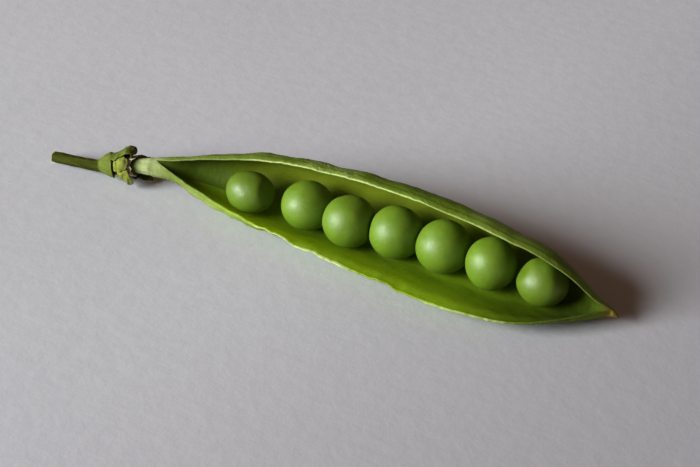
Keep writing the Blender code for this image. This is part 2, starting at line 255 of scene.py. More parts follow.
# ---------------------------------------------------------------- materials
class Look:
    """A Principled material with short names for its procedural nodes."""

    def __init__(self, name):
        self.material = bpy.data.materials.new(name)
        self.material.use_nodes = True
        self.tree = self.material.node_tree
        self.shader = self.tree.nodes["Principled BSDF"]

    def node(self, kind, feeds=None, **settings):
        n = self.tree.nodes.new("ShaderNode" + kind)
        for key, value in settings.items():
            setattr(n, key, value)
        for key, value in (feeds or {}).items():
            self.feed(n.inputs[key], value)
        return n

    def feed(self, socket, value):
        if isinstance(value, bpy.types.NodeSocket):
            self.tree.links.new(value, socket)
        elif isinstance(value, tuple) and len(value) == 3 and socket.type == "RGBA":
            socket.default_value = (*value, 1.0)
        else:
            socket.default_value = value

    def set(self, **values):
        for key, value in values.items():
            self.feed(self.shader.inputs[key.replace("_", " ")], value)

    def attr(self, name):
        return self.node("Attribute", attribute_name=name).outputs["Fac"]

    def vector(self, name):
        return self.node("Attribute", attribute_name=name).outputs["Vector"]

    def place(self):
        """Position in millimetres."""
        coordinates = self.node("TexCoord").outputs["Object"]
        return self.node("VectorMath", {0: coordinates, "Scale": 1000.0}, operation="SCALE").outputs[0]

    def stretch(self, vector, factors):
        return self.node("VectorMath", {0: vector, 1: factors}, operation="MULTIPLY").outputs[0]

    def noise(self, vector, scale, detail=3.0, roughness=0.5, distortion=0.0):
        feeds = {"Vector": vector, "Scale": scale, "Detail": detail, "Roughness": roughness, "Distortion": distortion}
        return self.node("TexNoise", feeds).outputs["Fac"]

    def cells(self, vector, scale, feature="F1"):
        return self.node("TexVoronoi", {"Vector": vector, "Scale": scale}, feature=feature).outputs["Distance"]

    def remap(self, value, low, high, to_low=0.0, to_high=1.0):
        feeds = {"Value": value, "From Min": low, "From Max": high, "To Min": to_low, "To Max": to_high}
        return self.node("MapRange", feeds).outputs["Result"]

    def math(self, operation, a, b=0.0):
        return self.node("Math", {0: a, 1: b}, operation=operation).outputs[0]

    def mix(self, factor, a, b, blend="MIX"):
        n = self.node("Mix", data_type="RGBA", blend_type=blend)
        self.feed(n.inputs[0], factor)
        self.feed(n.inputs[6], a)
        self.feed(n.inputs[7], b)
        return n.outputs[2]

    def see_through(self, share, colour):
        """Lets part of the light through, as a leaf does."""
        out = self.tree.nodes["Material Output"]
        glow = self.node("BsdfTranslucent", {"Color": colour})
        both = self.node("MixShader", {0: share, 1: self.shader.outputs[0], 2: glow.outputs[0]})
        self.tree.links.new(both.outputs[0], out.inputs["Surface"])

    def bump(self, height, strength, distance, normal=None):
        feeds = {"Height": height, "Strength": strength, "Distance": distance * MM}
        if normal is not None:
            feeds["Normal"] = normal
        return self.node("Bump", feeds).outputs["Normal"]


def pod_look():
    look = Look("pod_skin")
    place, skin = look.place(), look.vector("skin")
    inner, pale, side = look.attr("inner"), look.attr("pale"), look.attr("back_side")
    neck, tip, wax, thin_unshaded = look.attr("neck"), look.attr("tip"), look.attr("wax"), look.attr("thin_unshaded")

    broad = look.noise(place, 0.22, 3.0, 0.55)
    fine = look.noise(place, 1.3, 5.0, 0.65)
    grain = look.noise(place, 5.0, 3.0, 0.6)

    # Outside: a net of slanting veins under a thin, patchy bloom of wax; part of the pale bloom is painted sheen.
    slant = look.stretch(skin, (0.55, 1.25, 1.0))
    net = look.remap(look.cells(slant, 0.9, "DISTANCE_TO_EDGE"), 0.0, 0.10, 1.0, 0.0)
    outside = look.mix(look.remap(broad, 0.3, 0.7), (0.138, 0.206, 0.013), (0.222, 0.307, 0.031))
    outside = look.mix(look.math("MULTIPLY", net, 0.22), outside, (0.33, 0.40, 0.075))
    outside = look.mix(look.remap(fine, 0.52, 0.75, 0.0, 0.35), outside, (0.32, 0.41, 0.095))
    outside = look.mix(look.remap(fine, 0.44, 0.25, 0.0, 0.45), outside, (0.066, 0.120, 0.006))
    # Pale wax bloom, which also carries painted sheen
    wax_and_sheen_colour = look.mix(look.remap(wax, 0.56, 0.84), (0.41, 0.49, 0.125), (0.64, 0.70, 0.30))
    outside = look.mix(look.math("MULTIPLY", wax, look.remap(broad, 0.2, 0.8, 0.65, 1.0)), outside, wax_and_sheen_colour)

    # Inside: smooth, moist and deep green, with faint fibres that run across the valve. Painted shade darkens it
    # towards both ends of the cavity, and its light green in the middle is partly painted light for the glow through
    # the thin wall.
    fibres = look.noise(look.stretch(skin, (2.6, 0.35, 1.0)), 1.0, 3.0, 0.6)
    inside = look.mix(look.remap(broad, 0.3, 0.7), (0.235, 0.380, 0.014), (0.300, 0.450, 0.022))
    inside = look.mix(thin_unshaded, (0.080, 0.124, 0.004), inside)
    inside = look.mix(side, inside, look.mix(thin_unshaded, (0.085, 0.128, 0.005), (0.250, 0.305, 0.022)))
    inside = look.mix(look.remap(fibres, 0.5, 0.8, 0.0, 0.30), inside, (0.26, 0.38, 0.03))
    inside = look.mix(look.remap(fine, 0.45, 0.25, 0.0, 0.40), inside, (0.09, 0.18, 0.005))

    colour = look.mix(inner, outside, inside)
    # Pale colour of the torn rims, also used for the painted sheen band on the front valve
    torn_and_sheen_colour = look.mix(look.remap(fine, 0.3, 0.7), (0.80, 0.90, 0.40), (0.58, 0.71, 0.25))
    colour = look.mix(pale, colour, torn_and_sheen_colour)
    stipe = look.mix(look.remap(look.noise(look.stretch(place, (0.3, 1.6, 1.6)), 1.0, 3.0), 0.3, 0.7), (0.47, 0.54, 0.22), (0.70, 0.78, 0.38))
    stipe = look.mix(look.attr("base"), stipe, (0.170, 0.205, 0.062))
    colour = look.mix(neck, colour, stipe)
    colour = look.mix(tip, colour, (0.30, 0.19, 0.04))
    look.set(Base_Color=colour)

    dull = look.remap(fine, 0.3, 0.7, 0.42, 0.60)
    moist = look.remap(fine, 0.3, 0.7, 0.36, 0.48)
    rough = look.node("Mix", {0: inner, 2: dull, 3: moist}, data_type="FLOAT").outputs[0]
    rough = look.node("Mix", {0: look.remap(thin_unshaded, 0.25, 0.0), 2: rough, 3: 0.92}, data_type="FLOAT").outputs[0]
    look.set(Roughness=rough, Specular_IOR_Level=0.25)
    glow = look.mix(look.math("MULTIPLY", fibres, 0.5), (0.86, 0.98, 0.07), (0.70, 0.86, 0.04))
    glow = look.mix(thin_unshaded, (0.10, 0.12, 0.003), glow)
    look.see_through(0.42, look.mix(side, glow, look.mix(thin_unshaded, (0.12, 0.16, 0.004), (0.50, 0.62, 0.02))))

    relief = look.math("ADD", look.math("MULTIPLY", net, 0.5), look.math("MULTIPLY", fine, 1.0))
    relief = look.math("ADD", relief, look.math("MULTIPLY", grain, 0.25))
    strength = look.node("Mix", {0: inner, 2: 0.55, 3: 0.22}, data_type="FLOAT").outputs[0]
    look.set(Normal=look.bump(relief, strength, 0.16))
    return look.material


def pea_look():
    look = Look("pea_skin")
    place = look.place()
    tone, hilum = look.attr("tone"), look.attr("hilum")
    broad = look.noise(place, 0.35, 2.0, 0.5)
    fine = look.noise(place, 1.8, 4.0, 0.6)
    pits = look.cells(place, 3.2)
    colour = look.mix(look.remap(broad, 0.3, 0.7), (0.120, 0.212, 0.009), (0.152, 0.248, 0.014))
    colour = look.mix(look.remap(fine, 0.5, 0.8, 0.0, 0.35), colour, (0.22, 0.32, 0.034))
    colour = look.mix(look.math("MULTIPLY", tone, 0.5), colour, (0.150, 0.205, 0.010))
    # Peas 1 and 7 are darkened: painted shade
    colour = look.mix(look.attr("painted_shade"), colour, (0.096, 0.156, 0.005))
    colour = look.mix(hilum, colour, (0.38, 0.46, 0.16))
    look.set(Base_Color=colour, Roughness=look.remap(fine, 0.3, 0.7, 0.45, 0.54), Specular_IOR_Level=0.62)
    look.set(Subsurface_Weight=0.08, Subsurface_Radius=(0.9, 1.2, 0.2), Subsurface_Scale=0.0005)
    normal = look.bump(broad, 0.25, 0.25)
    normal = look.bump(look.math("ADD", pits, look.math("MULTIPLY", fine, 0.8)), 0.18, 0.06, normal)
    look.set(Normal=normal)
    return look.material


def stalk_look():
    look = Look("stalk")
    place, cone, cut = look.place(), look.attr("cone"), look.attr("cut")
    streaks = look.noise(look.stretch(place, (0.25, 2.2, 2.2)), 1.0, 4.0, 0.6)
    fine = look.noise(place, 2.4, 4.0, 0.6)
    colour = look.mix(look.remap(streaks, 0.3, 0.7), (0.031, 0.038, 0.002), (0.064, 0.073, 0.005))
    colour = look.mix(look.remap(fine, 0.55, 0.75, 0.0, 0.4), colour, (0.11, 0.115, 0.018))
    flared = look.mix(look.remap(streaks, 0.3, 0.7), (0.112, 0.146, 0.020), (0.160, 0.192, 0.040))
    colour = look.mix(cone, colour, flared)
    pith = look.mix(look.remap(fine, 0.3, 0.7), (0.34, 0.36, 0.16), (0.50, 0.50, 0.28))
    colour = look.mix(cut, colour, pith)
    look.set(Base_Color=colour, Roughness=look.remap(fine, 0.3, 0.7, 0.65, 0.80), Specular_IOR_Level=0.06)
    look.set(Subsurface_Weight=0.15, Subsurface_Radius=(0.8, 1.0, 0.3), Subsurface_Scale=0.0005)
    look.set(Normal=look.bump(look.math("ADD", streaks, look.math("MULTIPLY", fine, 0.6)), 0.5, 0.12))
    return look.material


def sepal_look():
    look = Look("sepal")
    place, tone, edge, along = look.place(), look.attr("tone"), look.attr("edge"), look.attr("along")
    broad = look.noise(place, 0.9, 3.0, 0.6)
    fine = look.noise(place, 3.5, 4.0, 0.65)
    # Each sepal is dark or light by its tone: partly its own colour, partly painted shade on the sepals in shade (the
    # top hook, and those under and behind the neck)
    dark = look.mix(look.remap(broad, 0.35, 0.65), (0.040, 0.062, 0.005), (0.095, 0.122, 0.014))
    light = look.mix(look.remap(broad, 0.35, 0.65), (0.22, 0.245, 0.022), (0.34, 0.37, 0.06))
    colour = look.mix(tone, dark, light)
    # Darker towards the tips: dried tips, and partly painted shade where the tips curl
    colour = look.mix(look.math("MULTIPLY", along, look.remap(fine, 0.3, 0.7, 0.4, 0.95)), colour, (0.085, 0.085, 0.010))
    colour = look.mix(look.math("MULTIPLY", edge, 0.30), colour, (0.20, 0.22, 0.05))
    colour = look.mix(look.remap(fine, 0.60, 0.80, 0.0, 0.5), colour, (0.30, 0.29, 0.10))
    look.set(Base_Color=colour, Roughness=look.remap(fine, 0.3, 0.7, 0.60, 0.80), Specular_IOR_Level=0.2)
    look.set(Subsurface_Weight=0.15, Subsurface_Radius=(0.6, 0.8, 0.2), Subsurface_Scale=0.0004)
    look.set(Normal=look.bump(look.math("ADD", broad, fine), 0.6, 0.15))
    return look.material


def stamen_look():
    look = Look("dry_stamen")
    place, frayed = look.place(), look.attr("along")
    streaks = look.noise(look.stretch(place, (0.5, 3.0, 3.0)), 1.0, 4.0, 0.6)
    colour = look.mix(look.remap(streaks, 0.3, 0.7), (0.46, 0.42, 0.21), (0.66, 0.61, 0.39))
    colour = look.mix(look.math("MULTIPLY", frayed, 0.6), colour, (0.74, 0.69, 0.48))
    look.set(Base_Color=colour, Roughness=look.remap(streaks, 0.3, 0.7, 0.65, 0.85))
    look.set(Subsurface_Weight=0.2, Subsurface_Radius=(0.6, 0.6, 0.4), Subsurface_Scale=0.0003)
    look.set(Normal=look.bump(streaks, 0.6, 0.12))
    return look.material


def funicle_look():
    look = Look("funicle")
    place = look.place()
    fine = look.noise(place, 2.5, 4.0, 0.6)
    colour = look.mix(look.remap(fine, 0.3, 0.7), (0.26, 0.36, 0.09), (0.42, 0.50, 0.19))
    look.set(Base_Color=colour, Roughness=look.remap(fine, 0.3, 0.7, 0.45, 0.6))
    look.set(Subsurface_Weight=0.2, Subsurface_Radius=(0.8, 1.0, 0.3), Subsurface_Scale=0.0004)
    look.set(Normal=look.bump(fine, 0.4, 0.08))
    return look.material


def floor_look():
    look = Look("floor")
    place = look.place()
    broad = look.noise(place, 0.02, 4.0, 0.55)
    fine = look.noise(place, 0.35, 4.0, 0.6)
    tone = look.math("ADD", look.math("MULTIPLY", broad, 0.5), look.math("MULTIPLY", fine, 0.5))
    colour = look.mix(look.remap(tone, 0.35, 0.65), (0.565, 0.565, 0.575), (0.605, 0.605, 0.612))
    # The floor darkens towards one side: painted light falloff
    painted_falloff = look.node("VectorMath", {0: place, 1: (-0.0023, 0.0005, 0.0)}, operation="DOT_PRODUCT").outputs["Value"]
    look.set(Base_Color=look.mix(look.remap(painted_falloff, -0.17, 0.0), (0.455, 0.447, 0.457), colour))
    look.set(Roughness=0.9, Specular_IOR_Level=0.15)
    look.set(Normal=look.bump(fine, 0.25, 0.25))
    return look.material


# ---------------------------------------------------------------- the pod's shell
def valve(keel, rim, leave, arrive, t):
    """Points and directions on one valve of every section, at the curve parameters t."""
    leave, arrive = np.radians(leave), np.radians(arrive)
    turn = np.abs(arrive - leave)
    chord = np.linalg.norm(rim - keel, axis=1)
    handle = (chord * (2 / 3) * np.tan(turn / 4) / np.sin(turn / 2))[:, None]
    d0 = np.stack([np.cos(leave), np.sin(leave)], 1)
    d1 = np.stack([np.cos(arrive), np.sin(arrive)], 1)
    p = [q[:, None, :] for q in (keel, keel + d0 * handle, rim - d1 * handle, rim)]
    t = t[..., None]
    points = (1 - t) ** 3 * p[0] + 3 * (1 - t) ** 2 * t * p[1] + 3 * (1 - t) * t**2 * p[2] + t**3 * p[3]
    slopes = (1 - t) ** 2 * (p[1] - p[0]) + 2 * (1 - t) * t * (p[2] - p[1]) + t**2 * (p[3] - p[2])
    return points, unit(slopes)


def build_shell():
    lengthwise, around, arc_steps = 300, 44, 4
    u = np.linspace(0, 1, lengthwise + 1)
    xs = POD_START + (POD_END - POD_START) * (u - 0.35 * np.sin(2 * math.pi * u) / (2 * math.pi))
    ky, kz, fy, fz, by, bz, slope, front_in, back_in = (spline(SECTIONS[:, 0], SECTIONS[:, k], xs) for k in range(1, 10))
    bz = bz + 0.15 * np.exp(-(((xs + 26.0) / 3.5) ** 2))
    keel, front_rim, back_rim = np.stack([ky, kz], 1), np.stack([fy, fz], 1), np.stack([by, bz], 1)
    s = np.linspace(0, 1, around + 1)
    t = np.tile(1 - (1 - s) ** 1.4, (len(xs), 1))
    front, front_dir = valve(keel, front_rim, slope + 180, front_in, t)
    back, back_dir = valve(keel, back_rim, slope, back_in, t)
    outer = np.concatenate([front[:, ::-1], back[:, 1:]], 1)
    inward = np.concatenate(
        [
            np.stack([front_dir[..., 1], -front_dir[..., 0]], -1)[:, ::-1],
            np.stack([-back_dir[..., 1], back_dir[..., 0]], -1)[:, 1:],
        ],
        1,
    )
    rimward = np.concatenate([front_dir[:, ::-1], back_dir[:, 1:]], 1)
    steps = np.linalg.norm(np.diff(outer, axis=1), axis=2)
    along = np.concatenate([np.zeros((len(xs), 1)), np.cumsum(steps, 1)], 1)
    to_front, to_back = along, along[:, -1:] - along
    to_rim = np.minimum(to_front, to_back)
    arc = along - along[:, around : around + 1]          # from the keel, front valve negative
    is_back = np.arange(2 * around + 1) >= around
    length = np.where(is_back, along[:, -1:] - along[:, around : around + 1], along[:, around : around + 1])
    share = np.abs(arc) / length                          # 0 at the keel, 1 at the rim
    x_grid = np.repeat(xs[:, None], outer.shape[1], 1)
    from_start, to_end = xs - POD_START, POD_END - xs
    ends = smooth(from_start / 6.0) * smooth(to_end / 5.0)

    wall = WALL - (WALL - RIM) * np.exp(-((to_rim / RIM_TAPER) ** 2))
    wall = wall * (smooth(from_start / 3.0) * smooth(to_end / 2.5))[:, None]

    # Relief of the wall: a soft swelling over each pea, the keel's rib and uneven growth.
    swelling = np.zeros_like(x_grid)
    for px in PEAS[:, 0]:
        swelling += np.exp(-(((x_grid - px) / 3.1) ** 2))
    swelling = (swelling - 0.45) * np.sin(math.pi * np.clip(share, 0, 1)) ** 0.8
    swelling *= np.where(is_back, 0.30, 0.16) * (ends * (1 - 0.9 * smooth((xs - 20.0) / 4.0)))[:, None]
    surface = np.stack([x_grid, arc], -1)
    uneven = field(surface, 9.0, 3) * 0.05 + field(surface, 3.2, 4) * 0.028
    veins = field(np.stack([x_grid * 0.9 + arc * 0.5, arc * 0.35], -1), 0.9, 5) * 0.011
    rib = 0.26 * np.exp(-((arc / 0.42) ** 2)) - 0.07 * np.exp(-(((np.abs(arc) - 0.95) / 0.4) ** 2))
    cord = 0.07 * np.exp(-(((to_rim - 0.75) / 0.3) ** 2)) - 0.05 * np.exp(-(((to_rim - 1.45) / 0.35) ** 2))
    relief = swelling + (uneven + veins + rib + cord) * ends[:, None]
    lip = 0.28 * span(xs, -30.0, -24.0, 5.0) + 0.48 * span(xs, -37.0, -33.5, 4.5)
    relief = relief + np.where(is_back, 0.0, lip[:, None] * np.exp(-(((to_rim - 1.0) / 0.75) ** 2)))
    outer_moved = outer - inward * relief[..., None]
    inner = outer + inward * (wall - swelling - uneven * 0.6 * ends[:, None])[..., None]

    # The torn sutures: they waver, and the two skins don't end at the same height.
    def rim_shift(seed, waver, wander, outer_run, inner_run):
        normal = field(xs, 7.0, seed) * waver + field(xs, 2.4, seed + 1) * waver * 0.35
        run = field(xs, 5.0, seed + 2) * wander + field(xs, 1.1, seed + 3) * wander * 0.35
        calm = (0.30 + 0.70 * span(xs, -22.0, 4.0, 5.0)) * ends
        return normal * calm, run * calm + outer_run * ends, run * calm + inner_run * ends

    strip = span(xs, -20.0, -5.0, 3.5)                  # torn open to the light
    rolled = span(xs, -1.0, 9.0, 2.5)                   # rolled under
    ragged = (field(xs, 1.5, 41) * 0.05 + field(xs, 0.6, 42) * 0.03) * (0.15 + 0.85 * span(xs, -21.0, 2.0, 5.0))
    front_shift = rim_shift(
        21, 0.09, 0.06,
        0.10 * strip - 0.12 * rolled + 0.04 * span(xs, 11.0, 20.0, 2.0) + ragged * 0.6,
        -0.42 * strip + 0.10 * rolled - 0.10 * span(xs, 11.0, 20.0, 2.0) + ragged * (0.5 + strip),
    )
    back_shift = rim_shift(31, 0.05, 0.03, 0.05 + ragged * 0.15, -0.04 + ragged * 0.25)
    for near, which in ((to_front, front_shift), (to_back, back_shift)):
        bend, outer_run, inner_run = which
        wide, tight = np.exp(-((near / 1.7) ** 2)), np.exp(-((near / 0.55) ** 2))
        outer_moved = outer_moved - inward * (bend[:, None] * wide)[..., None] + rimward * (outer_run[:, None] * tight)[..., None]
        inner = inner - inward * (bend[:, None] * wide)[..., None] + rimward * (inner_run[:, None] * tight)[..., None]

    depth = (smooth(from_start / CAVITY_START) * smooth(to_end / CAVITY_END))[:, None, None]
    inner[..., 1] = np.maximum(inner[..., 1], REST_CUT + 0.68 * WALL)
    row_share = np.linspace(0, 1, inner.shape[1])[None, :, None]
    across = inner[:, :1] * (1 - row_share) + inner[:, -1:] * row_share
    inner = across + (inner - across) * depth
    outer_moved[..., 1] = np.maximum(outer_moved[..., 1], REST_CUT)
    outer_moved[0], outer_moved[-1] = outer[0], outer[-1]

    # Rounded edge between the two skins of each rim
    turns = np.linspace(0, math.pi, arc_steps + 2)[1:-1]

    def edge(a, b, direction):
        centre, half = (a + b) / 2, np.linalg.norm(a - b, axis=1)[:, None] / 2
        return np.stack([centre + (a - centre) * math.cos(q) + direction * half * 0.55 * math.sin(q) for q in turns], 1)

    back_edge = edge(outer_moved[:, -1], inner[:, -1], back_dir[:, -1])
    front_edge = edge(inner[:, 0], outer_moved[:, 0], front_dir[:, -1])

    loops = np.concatenate([outer_moved, back_edge, inner[:, ::-1], front_edge], 1)
    columns = loops.shape[1]
    count = 2 * around + 1
    vertices = np.concatenate([np.repeat(xs[:, None, None], columns, 1), loops], 2).reshape(-1, 3)

    # Vertex attributes for the material
    strength_front = (
        0.22 + 0.78 * span(xs, -21.5, -5.0, 2.0) - 0.17 * span(xs, -1.5, 9.5, 2.0) + 0.22 * span(xs, 11.0, 23.0, 2.0)
        - 0.18 * smooth((xs - 23.0) / 4.0)
    )
    strength_back = 0.30 + 0.70 * span(xs, -26.0, 1.0, 5.0) + 0.15 * span(xs, 4.0, 17.0, 3.0) - 0.12 * span(xs, 24.0, 40.0, 4.0)
    strength_front = np.clip(strength_front * (1 + 0.18 * field(xs, 1.6, 51)), 0, 1)
    strength_back = np.clip(strength_back * (1 + 0.10 * field(xs, 1.6, 52)), 0, 1)
    rim_light = np.where(is_back, strength_back[:, None], strength_front[:, None])
    outer_pale = rim_light * np.exp(-((to_rim / 0.16) ** 2))
    # Painted sheen: a pale striped band on the front valve's outside near the stalk end
    sheen_band = np.where(is_back, 0.0, span(xs, -36.0, -25.5, 4.0)[:, None]) * np.exp(-((to_rim / 1.5) ** 4))
    stripes = 0.55 + 0.22 * field(np.stack([x_grid * 0.12, to_rim], -1), 0.55, 53)
    outer_pale = np.clip(np.maximum(outer_pale, 0.25 * sheen_band * stripes), 0, 1)
    inner_pale = rim_light * np.exp(-((to_rim / 0.12) ** 2))
    edge_back = np.repeat(strength_back[:, None], arc_steps, 1)
    edge_front = np.repeat(strength_front[:, None], arc_steps, 1)
    wax_x = smooth((-14.0 - xs) / 22.0)
    outer_wax_and_sheen = wax_x[:, None] * np.where(is_back, 0.35, 0.55) * smooth(to_rim / 0.6)
    # Mottled pale patches high on the back valve's outside: painted sheen, laid on as more wax bloom
    painted_sheen_patch = np.clip(0.62 + 0.32 * field(surface, 0.55, 54), 0, 1) * span(xs, -17.5, -9.5, 3.0)[:, None]
    outer_wax_and_sheen = np.maximum(outer_wax_and_sheen, np.where(is_back, 0.85, 0.0) * painted_sheen_patch * span(share, 0.55, 0.96, 0.12))
    dusty = np.where(is_back, 0.26 * span(xs, 14.0, 34.0, 6.0)[:, None], 0.32 * span(xs, 22.0, 34.0, 6.0)[:, None])
    outer_wax_and_sheen = np.maximum(outer_wax_and_sheen, dusty * smooth(to_rim / 0.6))
    zeros_b, zeros_f = np.zeros_like(edge_back), np.zeros_like(edge_front)
    # Falls to 0 at both ends of the cavity: there the wall lets less light through, and the inside gets painted shade
    thin_unshaded_end = smooth((34.0 - xs) / 23.0)
    thin_unshaded_back, thin_unshaded_front = smooth((xs + 40.0) / 20.0) * thin_unshaded_end, smooth((xs + 47.0) / 20.0) * thin_unshaded_end
    thin_unshaded = np.where(is_back, thin_unshaded_back[:, None], thin_unshaded_front[:, None])
    thin_outside = np.where(is_back, (smooth((xs + 40.0) / 20.0) * smooth((41.0 - xs) / 7.0))[:, None], thin_unshaded_front[:, None])

    def row(out, back_part, inn, front_part):
        return np.concatenate([out, back_part, inn[:, ::-1], front_part], 1).ravel()

    attributes = {
        "skin": np.stack(
            [
                np.repeat(xs[:, None], columns, 1).ravel(),
                row(arc, np.repeat(arc[:, -1:], arc_steps, 1), arc, np.repeat(arc[:, :1], arc_steps, 1)),
                row(np.zeros_like(arc), zeros_b, np.full_like(arc, 7.0), zeros_f),
            ],
            1,
        ),
        "inner": row(np.zeros_like(arc), zeros_b + 0.5, np.ones_like(arc), zeros_f + 0.5),
        "pale": row(outer_pale, edge_back, inner_pale, edge_front),
        "back_side": row(is_back * np.ones_like(arc), zeros_b + 1, smooth(arc / 3.0), zeros_f),
        "wax": row(outer_wax_and_sheen, zeros_b, np.zeros_like(arc), zeros_f),
        "thin_unshaded": row(thin_outside, np.repeat(thin_unshaded_back[:, None], arc_steps, 1), thin_unshaded, np.repeat(thin_unshaded_front[:, None], arc_steps, 1)),
        "neck": np.repeat(smooth((-42.5 - xs) / 6.5)[:, None], columns, 1).ravel()
        * row(np.ones_like(arc), zeros_b + 0.8, np.zeros_like(arc), zeros_f + 0.8),
        "tip": np.repeat(smooth((xs - 35.2) / 2.4)[:, None], columns, 1).ravel() * 0.7,
    }

    # Both ends: rims and inner skin close into one point, and a tube goes on from the outside.
    index = np.arange(len(vertices)).reshape(len(xs), columns)
    for i in (0, len(xs) - 1):
        index[i, count - 1 :] = index[i, 0]
    faces = []
    for i in range(len(xs) - 1):
        a, b = index[i], index[i + 1]
        for j in range(columns):
            n = (j + 1) % columns
            faces.append((a[j], a[n], b[n], b[j]))

    attributes["base"] = np.zeros(len(vertices))
    added, added_attributes = [], {k: [] for k in attributes}
    next_index = len(vertices)
    ring_size = 2 * around
    for end, tube, forwards in ((0, NECK, False), (len(xs) - 1, BEAK, True)):
        first = vertices[index[end, :ring_size]]
        top = first[0]
        start = math.atan2(tube[0][1] - top[1], top[2] - tube[0][2])
        turn = start + 2 * math.pi * np.arange(ring_size) / ring_size
        reach = np.abs(tube[:, 0] - xs[end])
        rows = 44 if not forwards else 14
        extra = 0.45 if not forwards else 0.0
        where = np.linspace(0, reach[-1] + extra, rows + 1)[1:]
        previous = index[end, :ring_size]
        knots = np.concatenate([[0.0], reach])
        centre0 = first.mean(0)
        cy = spline(knots, np.concatenate([[centre0[1]], tube[:, 1]]), where)
        cz = spline(knots, np.concatenate([[centre0[2]], tube[:, 2]]), where)
        radii = np.interp(where, reach, tube[:, 3]) if forwards else spline(reach, tube[:, 3], np.clip(where, reach[0], reach[-1]))
        for k, w in enumerate(where):
            x = xs[end] + (w if forwards else -w)
            blend = smooth(w / reach[0] if reach[0] > 0 else 1.0)
            ribs = 1 + 0.035 * np.cos(5 * turn + 0.6) * smooth(w / 3.0) + 0.03 * np.exp(-((np.angle(np.exp(1j * (turn - start))) / 0.22) ** 2))
            if forwards:
                ribs = 1 + 0.05 * np.cos(4 * turn + 1.0)
            r = radii[k] * ribs
            if forwards:
                r = r * math.sqrt(max(1 - (w / (reach[-1] + 0.12)) ** 10, 0.05))
            circle = np.stack([np.full(ring_size, x), cy[k] - r * np.sin(turn), cz[k] + r * np.cos(turn)], 1)
            offset = first - centre0
            carried = np.stack([np.full(ring_size, x), cy[k] + offset[:, 1], cz[k] + offset[:, 2]], 1)
            ring = carried * (1 - blend) + circle * blend
            added.append(ring)
            current = next_index + np.arange(ring_size)
            next_index += ring_size
            for j in range(ring_size):
                n = (j + 1) % ring_size
                quad = (previous[j], previous[n], current[n], current[j])
                faces.append(quad if forwards else quad[::-1])
            previous = current
            ones = np.ones(ring_size)
            added_attributes["skin"].append(np.stack([ones * x, turn * 1.6, ones * 0], 1))
            added_attributes["inner"].append(ones * 0)
            added_attributes["pale"].append(ones * 0 if forwards else 0.55 * np.exp(-((np.angle(np.exp(1j * (turn - start))) / 0.35) ** 2)) * (1 - smooth(w / 6.0)))
            added_attributes["back_side"].append(ones)
            added_attributes["wax"].append(ones * (0.0 if forwards else 0.5))
            added_attributes["thin_unshaded"].append(ones * 0.0)
            added_attributes["neck"].append(ones * (0.0 if forwards else float(smooth((-42.5 - x) / 6.5))))
            added_attributes["base"].append(ones * (0.0 if forwards else float(smooth((-48.2 - x) / 2.2))))
            added_attributes["tip"].append(ones * (0.7 + 0.3 * w / reach[-1] if forwards else 0))
        faces.append(list(previous) if forwards else list(previous[::-1]))
    vertices = np.concatenate([vertices, *added])
    for key in attributes:
        attributes[key] = np.concatenate([attributes[key], *added_attributes[key]])
    faces = cleaned(faces)
    used = np.zeros(len(vertices), bool)
    for face in faces:
        used[list(face)] = True
    renumber = np.cumsum(used) - 1
    faces = [[renumber[v] for v in face] for face in faces]
    attributes = {k: v[used] for k, v in attributes.items()}
    return make_mesh("pod_shell_skin", vertices[used], faces, attributes)


# ---------------------------------------------------------------- peas and their seed stalks
def funicle_path(index):
    """From the inside of the keel to the pea, as in the CAD. Returns the pea's attachment too."""
    x, y, z = PEAS[index, :3]
    axes = np.array((PEAS[index, 3] - 0.3, PEAS[index, 4], PEAS[index, 5]))
    centre = np.array((x, y, z))
    root_x = x - FUNICLE_LEAD
    slope = math.radians(float(spline(SECTIONS[:, 0], SECTIONS[:, 7], root_x)))
    ky, kz = (float(spline(SECTIONS[:, 0], SECTIONS[:, k], root_x)) for k in (1, 2))
    off_keel = np.array((0.0, -math.sin(slope), math.cos(slope)))
    keel = np.array((root_x, ky, kz)) + off_keel * WALL
    start = keel - off_keel * 0.15
    ray = keel + off_keel * 0.54 - centre
    surface = centre + ray / np.linalg.norm(ray / axes)
    normal = unit((surface - centre) / axes**2)
    end = surface + normal * 0.05
    bend = np.linalg.norm(end - start) / 3
    p = (start, start + off_keel * bend, end + normal * bend, end)
    t = np.linspace(0, 1, 19)[:, None]
    path = (1 - t) ** 3 * p[0] + 3 * (1 - t) ** 2 * t * p[1] + 3 * (1 - t) * t**2 * p[2] + t**3 * p[3]
    return path, surface, normal


def build_funicle(index):
    path, _, _ = funicle_path(index)
    s = np.linspace(0, 1, len(path))
    sides = 18
    radius = 0.34 + 0.14 * np.exp(-((s / 0.12) ** 2)) + 0.20 * np.exp(-(((1 - s) / 0.14) ** 2))
    turn = np.linspace(0, 2 * math.pi, sides, endpoint=False)
    grid = radius[:, None] * (1 + 0.10 * np.cos(2 * turn + index)[None, :] + 0.05 * np.sin(3 * turn + 5 * s[:, None]))
    vertices, faces, _ = sweep(path, grid, sides)
    return make_mesh(f"funicle_{index + 1}_skin", vertices, faces)


